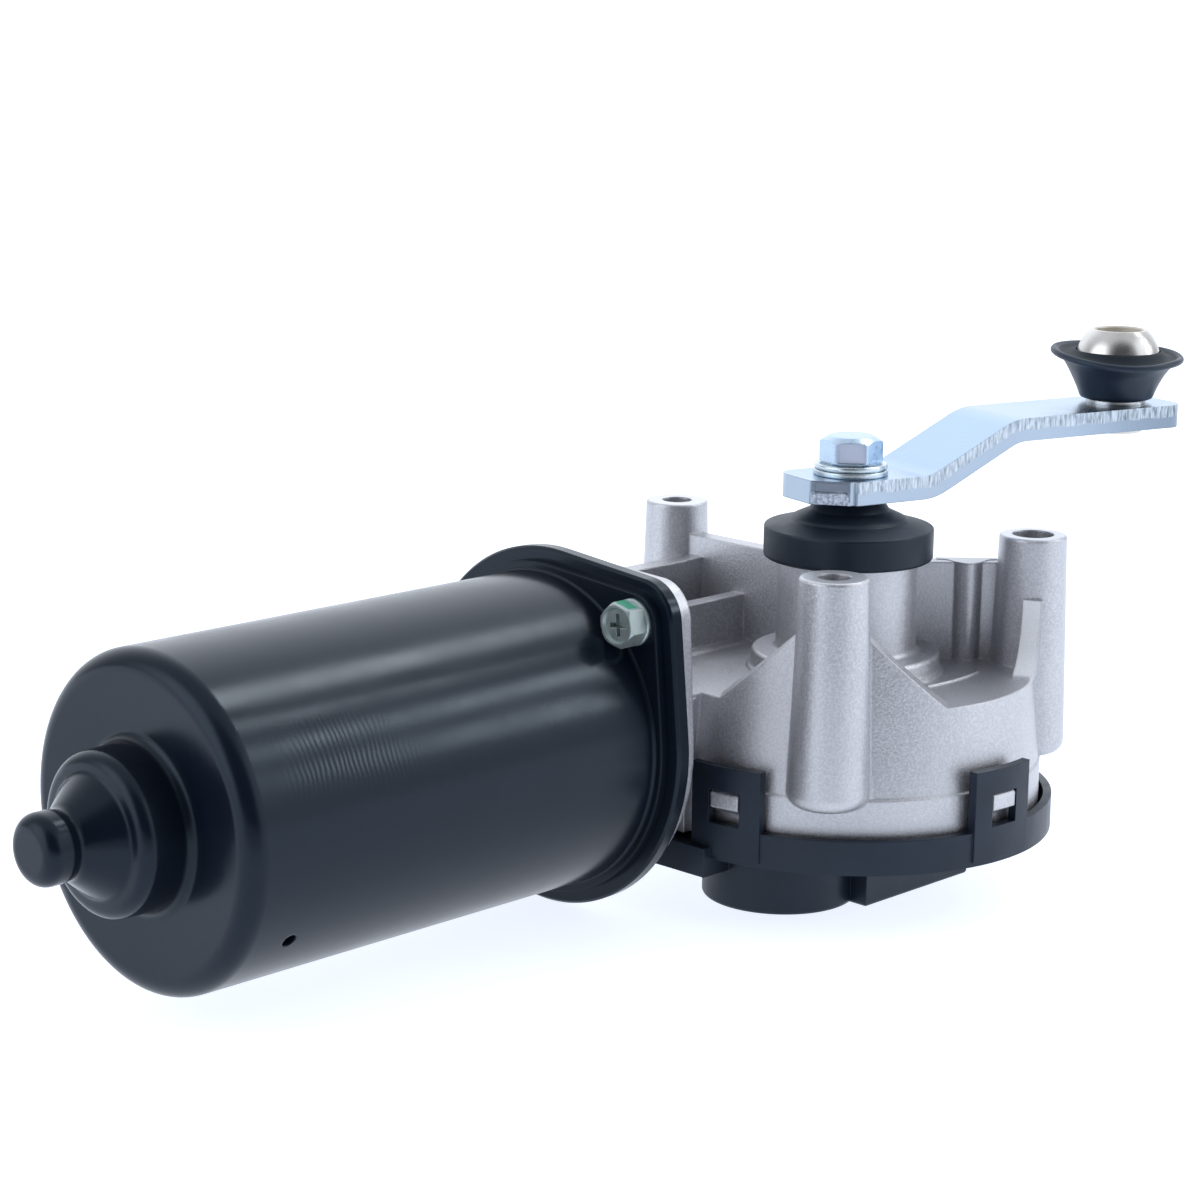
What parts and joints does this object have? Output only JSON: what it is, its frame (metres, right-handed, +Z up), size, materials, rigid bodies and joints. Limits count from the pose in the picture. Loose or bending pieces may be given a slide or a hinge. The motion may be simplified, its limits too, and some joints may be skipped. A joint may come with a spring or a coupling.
{
  "type": "wiper motor",
  "caption": "Windscreen wiper gearmotor: round motor can on a cast worm gearbox with mounting posts; its output shaft carries a cranked arm with a ball stud.",
  "frame": {"origin": "where the output shaft's axis crosses the plane of the three mounting posts' top faces", "axes": "+Z up along the output shaft, the way the shaft and posts point; X parallel to the motor's axis with the closed motor nose towards -X; +Y from the output shaft towards the motor's axis"},
  "size_m": [0.2721, 0.1149, 0.115],
  "materials": {
    "can_black_paint": "semi-gloss black paint on drawn steel",
    "cast_alloy": "as-cast, fine grain",
    "plate_black": "moulded, smooth",
    "cover_black": "moulded, fine grain",
    "cap_rubber": "matte",
    "boot_rubber": "satin",
    "seal_rubber": "matte",
    "arm_zinc": "zinc plated, rolled faces and sheared edges",
    "fastener_zinc": "bright zinc plated",
    "ball_nickel": "nickel plated, satin",
    "bright_steel": "ground",
    "spring_steel": "drawn wire",
    "lamination": "stacked sheet, oxide grey",
    "ferrite": "sintered, matte",
    "bronze": "sintered bearing bronze",
    "copper": "bare copper",
    "enamelled_copper": "enamelled wire",
    "contact_brass": "stamped sheet",
    "graphite": "pressed carbon",
    "white_acetal": "moulded gear plastic",
    "board_green": "laminate board",
    "phenolic": "moulded insulator",
    "felt": "oiled felt"
  },
  "bodies": {
    "housing": {"motor_can": "can_black_paint", "field_magnets": "ferrite", "nose_bush": "bronze", "nose_retainer": "spring_steel", "oil_felt": "felt", "thrust_button": "white_acetal", "brush_plate": "plate_black", "brush_holders": "contact_brass", "spring_common": "spring_steel", "spring_low": "spring_steel", "spring_high": "spring_steel", "noise_chokes": "enamelled_copper", "thermal_cutout": "phenolic", "can_screws": "fastener_zinc", "gear_housing": "cast_alloy", "bearing_outer": "bright_steel", "bearing_balls": "bright_steel", "worm_bush": "bronze", "thrust_screw": "fastener_zinc", "bush_lower": "bronze", "bush_upper": "bronze", "shaft_seal": "seal_rubber", "tower_cap": "cap_rubber", "gear_cover": "cover_black", "cover_seal": "seal_rubber", "socket_pins": "contact_brass", "switch_board": "board_green", "park_fingers": "contact_brass"},
    "armature": {"armature_shaft": "bright_steel", "rotor_stack": "lamination", "windings": "enamelled_copper", "commutator_hub": "phenolic", "commutator": "copper", "bearing_inner": "bright_steel"},
    "output": {"worm_wheel": "white_acetal", "drive_hub": "bright_steel", "thrust_washer": "spring_steel", "output_shaft": "bright_steel", "park_disc": "contact_brass", "shaft_circlip": "spring_steel", "slip_washer": "white_acetal", "crank_arm": "arm_zinc", "flat_washer": "fastener_zinc", "spring_washer": "fastener_zinc", "crank_bolt": "fastener_zinc", "ball_stud": "ball_nickel", "ball_boot": "boot_rubber"},
    "brush_common_body": {"brush_common": "graphite"},
    "brush_low_body": {"brush_low": "graphite"},
    "brush_high_body": {"brush_high": "graphite"}
  },
  "joints": [
    {"name": "crank_spin", "type": "hinge", "parent": "housing", "child": "output", "pos_m": [0, 0, -0.0366], "axis": [0, 0, 1], "continuous": true},
    {"name": "armature_spin", "type": "hinge", "parent": "housing", "child": "armature", "pos_m": [0, 0.0316, -0.0366], "axis": [1, 0, 0], "continuous": true},
    {"name": "brush_common_slide", "type": "slide", "parent": "housing", "child": "brush_common_body", "axis": [0, 0, 1], "range_m": [0, 0.0015], "stiffness_N_per_m": 300, "springref_m": -0.004, "deforming": ["spring_common"]},
    {"name": "brush_low_slide", "type": "slide", "parent": "housing", "child": "brush_low_body", "axis": [0, -1, 0], "range_m": [0, 0.0015], "stiffness_N_per_m": 300, "springref_m": -0.004, "deforming": ["spring_low"]},
    {"name": "brush_high_slide", "type": "slide", "parent": "housing", "child": "brush_high_body", "axis": [0, 0, -1], "range_m": [0, 0.0015], "stiffness_N_per_m": 300, "springref_m": -0.004, "deforming": ["spring_high"]}
  ],
  "couplings": [
    {"joint": "armature_spin", "follows": "crank_spin", "ratio": 52}
  ]
}
